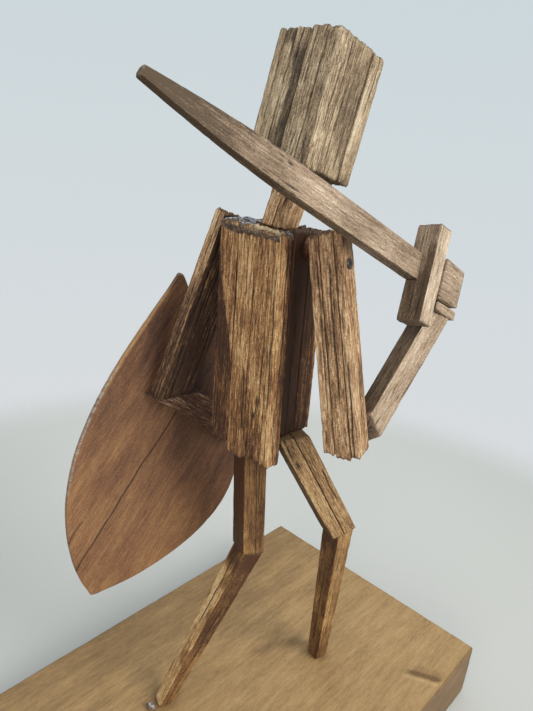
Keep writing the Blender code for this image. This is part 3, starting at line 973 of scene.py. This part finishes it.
def crust_material():
    """Dark stained end wood, with glue whose bluish white is partly painted sheen, and pale torn
    fibres where masked.
    """
    shade = Shade("glue_crust")
    grain = shade.attribute("grain")
    glue_and_sheen, tan, _ = shade.split(shade.attribute("wear_and_shade"))
    cloud = shade.noise(grain, 1.6, 4.0, 0.62)
    fine = shade.noise(grain, 5.0, 3.0, 0.6)
    colour = shade.ramp(cloud, [(0.34, (0.02, 0.011, 0.007)), (0.5, (0.075, 0.045, 0.027)),
                                (0.66, (0.2, 0.135, 0.08))])
    glue_film_and_sheen = shade.math("MULTIPLY", glue_and_sheen, shade.between(cloud, 0.38, 0.54))
    # bluish white: the glue's film with a painted sheen on it
    colour = shade.mix(glue_film_and_sheen, colour, (0.42, 0.46, 0.53))
    fibre = shade.math("MULTIPLY", tan, shade.between(fine, 0.3, 0.5))
    colour = shade.mix(fibre, colour, (0.55, 0.42, 0.25))
    rough = shade.math("MULTIPLY_ADD", glue_film_and_sheen, -0.35, 0.62)
    shade.out(Base_Color=colour, Roughness=rough, Normal=shade.bump(0.6, fine))
    return shade.material


# dried glue from dark brown to bluish white, its palest clouds partly a painted sheen, with dust
GLUE = clouded("dried_glue", 900.0,
               ((0.36, (0.04, 0.024, 0.016)), (0.48, (0.15, 0.1, 0.065)),
                (0.57, (0.26, 0.22, 0.18)), (0.68, (0.46, 0.5, 0.56))),
               (0.35, 0.12), bump=0.5, dust=3200.0).material
SMEAR_SHARE = 0.85  # size of the smear's main body, the rest is its lobes
low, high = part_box("glue_foot_left")
foot_smear = blob("glue_foot_left_smear", (low + high) / 2 / MM,
                  (high - low) / 2 / MM * SMEAR_SHARE, 5.0, GLUE, sink=1.6)
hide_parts("glue_foot_left")


def head_corners(node):
    """Corners of a stick's upper end in the row frame, in mm."""
    axes = face_axes(node)
    return [axes[0] * c.x + axes[1] * c.y + axes[2] * c.z
            for c in stations(node, axes, None)[-1].values()]


CRUST_COLUMNS, CRUST_ROWS = 110, 56
CRUST_SINK = 1.4  # mm that its flat underside lies below the lowest top
CRUST_UNDER = 0.93  # size of the underside against the upper side


def torso_crust():
    """Dried glue and torn fibres over the tops of the torso strips, thin and uneven."""
    left = max(c.x for c in head_corners("torso_back_1")) - 0.1
    right = min(c.x for c in head_corners("torso_middle_2"))
    corner = min(c.x for c in head_corners("torso_back_4"))
    back = max(c.y for c in head_corners("torso_back_1")) + 0.3
    front = min(c.y for c in head_corners("torso_middle_2")) + 1.0
    step = min(c.y for c in head_corners("torso_back_4")) - 0.2
    tops = [max(c.z for c in head_corners(f"torso_back_{i}")) for i in (1, 2, 3, 4)]
    columns, rows = CRUST_COLUMNS, CRUST_ROWS
    points, masks = [], []
    for j in range(rows + 1):
        y = front + (back - front) * j / rows
        edge_x = right + (corner - right) * ease(y, step - 0.6, step + 0.2)
        for i in range(columns + 1):
            f = i / columns
            x = left + (edge_x - left) * f
            place = f * (len(tops) - 1)
            low_top = tops[int(place)]
            high_top = tops[min(int(place) + 1, len(tops) - 1)]
            base = low_top + (high_top - low_top) * (place - int(place))
            rim = min(min(f, 1.0 - f) * (left - right), y - front, back - y)
            ridge = 1.0 - abs(snoise(x * 0.8, y * 1.5, 6.0)) * 2.2
            height = base + 0.1 + 0.45 * max(0.0, ridge) + 0.25 * snoise(x * 2.2, y * 2.4, 2.0)
            height += 0.16 * snoise(x * 5.0, y * 6.0, 4.0)
            height -= 0.7 * ease(0.9 - rim, 0.0, 0.9)
            height -= ease(y, back - 0.7, back) * (0.15 + 0.7 * snoise(x * 1.1, 0.0, 21.0))
            tan = ease(f, 0.4, 0.52) * ease(1.0 - f, 0.0, 0.06)
            tan *= ease(y, back - 3.0, back - 1.6) * ease(back - y, 0.25, 0.8)
            tan *= ease(snoise(x * 0.7, y * 2.5, 33.0), -0.55, -0.05)
            height += 0.45 * tan * (0.6 + snoise(x * 0.9, y * 3.0, 9.0))
            # where the glue shows bluish white, partly a painted sheen
            glue_and_sheen = ease(0.5 - f, 0.0, 0.14)
            glue_and_sheen += 0.8 * ease(f, 0.66, 0.8) * ease(back - y, 3.5, 5.0)
            glue_and_sheen *= ease(snoise(x * 0.6, y * 1.3, 15.0), -0.45, 0.05)
            glue_and_sheen *= ease(back - y, 0.5, 1.1)
            points.append(Vector((x, y, height)))
            masks.append((glue_and_sheen, tan, 0.0))
    count = columns + 1
    middle = Vector(((left + right) / 2, (front + back) / 2, 0.0))
    under = [middle + (p - middle) * CRUST_UNDER for p in points]
    for spot in under:
        spot.z = min(tops) - CRUST_SINK
    faces = []
    for j in range(rows):
        for i in range(columns):
            a = j * count + i
            quad = (a, a + count, a + count + 1, a + 1)
            faces.append(quad)
            faces.append(tuple(k + len(points) for k in reversed(quad)))
    rim = list(range(count)) + [j * count + columns for j in range(1, rows + 1)]
    rim += [rows * count + i for i in range(columns - 1, -1, -1)]
    rim += [j * count for j in range(rows - 1, 0, -1)]
    for a, b in zip(rim, rim[1:] + rim[:1]):
        faces.append((a, b, b + len(points), a + len(points)))
    every = points + under
    wear_and_shade = masks + [(0.0, 0.0, 0.0)] * len(under)
    grain = [tuple(p) for p in every]
    cut = [0.0] * len(every)
    obj = make_mesh("torso_top_glue", every, faces, grain, wear_and_shade, cut, crust_material())
    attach(obj, BODY)
    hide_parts("glue_neck_left", "glue_neck_right")


torso_crust()

BROWN_GLUE = clouded("brown_glue", 700.0,
                     ((0.35, (0.02, 0.008, 0.005)), (0.6, (0.085, 0.032, 0.016)),
                      (0.75, (0.2, 0.1, 0.05))), (0.3, 0.15), bump=0.4).material

# between the right shoulder and the blade
shoulder = mean(head_corners("upper_arm_right_3"))
blob("glue_shoulder_tie", shoulder + Vector((-1.3, 0.8, 1.3)), Vector((2.9, 1.8, 1.5)), 41.0,
     BROWN_GLUE, sink=1.3, lumps=0.25)

# in the slot between the torso and the right upper arm, just below their tops
arm_top, torso_top = by_height("upper_arm_right_1")[-4:], by_height("torso_middle_2")[-4:]
arm_inside, torso_outside = max(p.x for p in arm_top), min(p.x for p in torso_top)
slot_middle = Vector(((arm_inside + torso_outside) / 2, sum(p.y for p in arm_top) / 4,
                      min(arm_top[0].z, torso_top[0].z) - 2.6))
slot_half = Vector((abs(torso_outside - arm_inside) / 2 + 0.9, 1.9, 2.6))
blob("glue_slot_tie", slot_middle, slot_half, 43.0, BROWN_GLUE, sink=1.1, lumps=0.25)

BRAD_RADIUS, BRAD_PROUD = 1.2, 0.28
BRAD_POINTS = 28
BRAD_RINGS = ((1.0, -0.5), (1.0, 0.55), (0.93, 0.85), (0.72, 1.0), (0.36, 0.94))


def brad_head(node):
    """A low domed brad head, driven almost flush; its side comes from the CAD node's cap.

    BRAD_RINGS are its profile, as shares of the radius and of how proud it stands.
    """
    cap = max(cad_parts[node].data.polygons, key=lambda face: face.area)
    low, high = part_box(node)
    outward = cap.normal if cap.normal.x < 0.0 else -cap.normal
    centre = (low + high) / 2 / MM - outward * 0.35
    side = outward.orthogonal().normalized()
    other = outward.cross(side)
    points, count = [], BRAD_POINTS
    for share, rise in BRAD_RINGS:
        for i in range(count):
            angle = math.tau * i / count
            wobble = 1.0 + 0.05 * snoise(math.cos(angle), math.sin(angle), 3.0)
            flat = side * math.cos(angle) + other * math.sin(angle)
            flat *= BRAD_RADIUS * share * wobble
            points.append((centre + flat + outward * BRAD_PROUD * rise) * MM)
    points.append((centre + outward * BRAD_PROUD * 0.9) * MM)
    faces = tube(len(BRAD_RINGS), count)
    last = (len(BRAD_RINGS) - 1) * count
    for i in range(count):
        faces.append((last + i, last + (i + 1) % count, len(points) - 1))
    faces.append(tuple(reversed(range(count))))
    mesh = bpy.data.meshes.new(node + "_steel")
    mesh.from_pydata(points, [], faces)
    steel = clouded("brad_steel", 1400.0,
                    ((0.35, (0.15, 0.15, 0.155)), (0.62, (0.05, 0.035, 0.025))), (0.4, 0.25))
    steel.shader.inputs["Metallic"].default_value = 0.9
    mesh.materials.append(steel.material)
    obj = add_object(node + "_steel", mesh)
    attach(obj, BODY)
    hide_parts(node)


brad_head("shoulder_brad_head")

# ---- camera
CAMERA_AT = Vector((-88.87, 102.46, 176.0)) * MM
CAMERA_RIGHT = Vector((-0.72807, -0.67975, 0.08855))
CAMERA_UP = Vector((0.29294, -0.19175, 0.9367))
LENS_MM, SENSOR_MM = 29.87, 36.0

lens = bpy.data.cameras.new("camera")
lens.lens, lens.sensor_width = LENS_MM, SENSOR_MM
lens.clip_start, lens.clip_end = 0.005, 10.0
camera = add_object("camera", lens)
turn = Matrix((CAMERA_RIGHT, CAMERA_UP, CAMERA_RIGHT.cross(CAMERA_UP))).transposed()
camera.matrix_world = Matrix.Translation(CAMERA_AT) @ turn.to_4x4()
bpy.context.scene.camera = camera


# ---- floor, world, lamps
FLOOR_RADIUS = 0.45
FLOOR_FADE = (0.225, 0.285)  # metres from the middle in which it fades out
FLOOR_DROP = 0.0002  # metres below the board


def floor_material():
    """Pale paper that fades into the background away from the figure; painted light pales its
    left.
    """
    shade = Shade("pale_floor")
    place = shade.node("TexCoord").outputs["Object"]
    soft = shade.noise(place, 3.0, 2.0, 0.4)
    colour = shade.ramp(soft, [(0.3, (0.4, 0.41, 0.385)), (0.7, (0.46, 0.47, 0.445))])
    across = shade.split(place)[0]
    # painted light: paler towards the warrior's left, away from the key lamp
    level = shade.node("MapRange", {"Value": across, "From Min": -0.2, "From Max": 0.15,
                                    "To Min": 0.8, "To Max": 1.18}).outputs["Result"]
    colour = shade.node("VectorMath", {0: colour, 3: level}, operation="SCALE").outputs[0]
    shade.out(Base_Color=colour, Roughness=0.9)
    away = shade.node("VectorMath", {0: place}, operation="LENGTH").outputs["Value"]
    gone = shade.between(away, *FLOOR_FADE)
    clear = shade.node("BsdfTransparent")
    mixed = shade.node("MixShader", {0: gone, 1: shade.shader.outputs[0], 2: clear.outputs[0]})
    shade.tree.links.new(mixed.outputs[0], shade.tree.nodes["Material Output"].inputs[0])
    return shade.material


bpy.ops.mesh.primitive_circle_add(vertices=96, radius=FLOOR_RADIUS, fill_type="NGON")
floor = bpy.context.object
floor.name = "floor"
floor.location = (0.0, 0.0, cad_box[0].z - FLOOR_DROP)
floor.data.materials.append(floor_material())

# the pale background, and the dimmer one that lights the figure
SKY_SEEN = ((0.0, (0.69, 0.715, 0.735)), (1.0, (0.6, 0.68, 0.71)))
SKY_LIT = ((0.25, (0.12, 0.11, 0.1)), (0.75, (0.62, 0.66, 0.7)))

world = bpy.data.worlds.new("soft_studio")
bpy.context.scene.world = world
world.use_nodes = True
world.node_tree.nodes.clear()
sky = Nodes(world.node_tree)
height = sky.split(sky.node("TexCoord").outputs["Generated"])[2]


def dome(stops, low, high):
    """A background whose colour runs through the stops between two heights of the view."""
    rise = sky.node("MapRange", {"Value": height, "From Min": low, "From Max": high})
    colour = sky.ramp(rise.outputs["Result"], stops)
    return sky.node("Background", {"Color": colour}).outputs[0]


seen = sky.node("LightPath").outputs["Is Camera Ray"]
both = sky.node("MixShader", {0: seen, 1: dome(SKY_LIT, -1.0, 1.0),
                              2: dome(SKY_SEEN, -0.45, 0.25)})
sky.node("OutputWorld", {"Surface": both.outputs[0]})

AIM = Vector((0.0, 0.0, 0.11))
# name, place and size in metres, power in watts, colour
LAMPS = (("key", (-0.62, -0.1, 0.5), 0.45, 5.6, (1.0, 0.97, 0.92)),
         ("top", (0.05, 0.1, 0.8), 0.6, 1.3, (0.96, 0.98, 1.0)),
         ("fill", (-0.3, 0.75, 0.3), 0.6, 3.5, (1.0, 0.96, 0.91)))
for name, spot, size, power, colour in LAMPS:
    light = bpy.data.lights.new(name, "AREA")
    light.shape, light.size = "SQUARE", size
    light.energy, light.color = power, colour
    lamp = add_object(name, light)
    lamp.location = spot
    lamp.rotation_mode = "QUATERNION"
    lamp.rotation_quaternion = (AIM - Vector(spot)).to_track_quat("-Z", "Y")
    lamp.visible_camera = False

bpy.context.scene.view_settings.view_transform = "Standard"
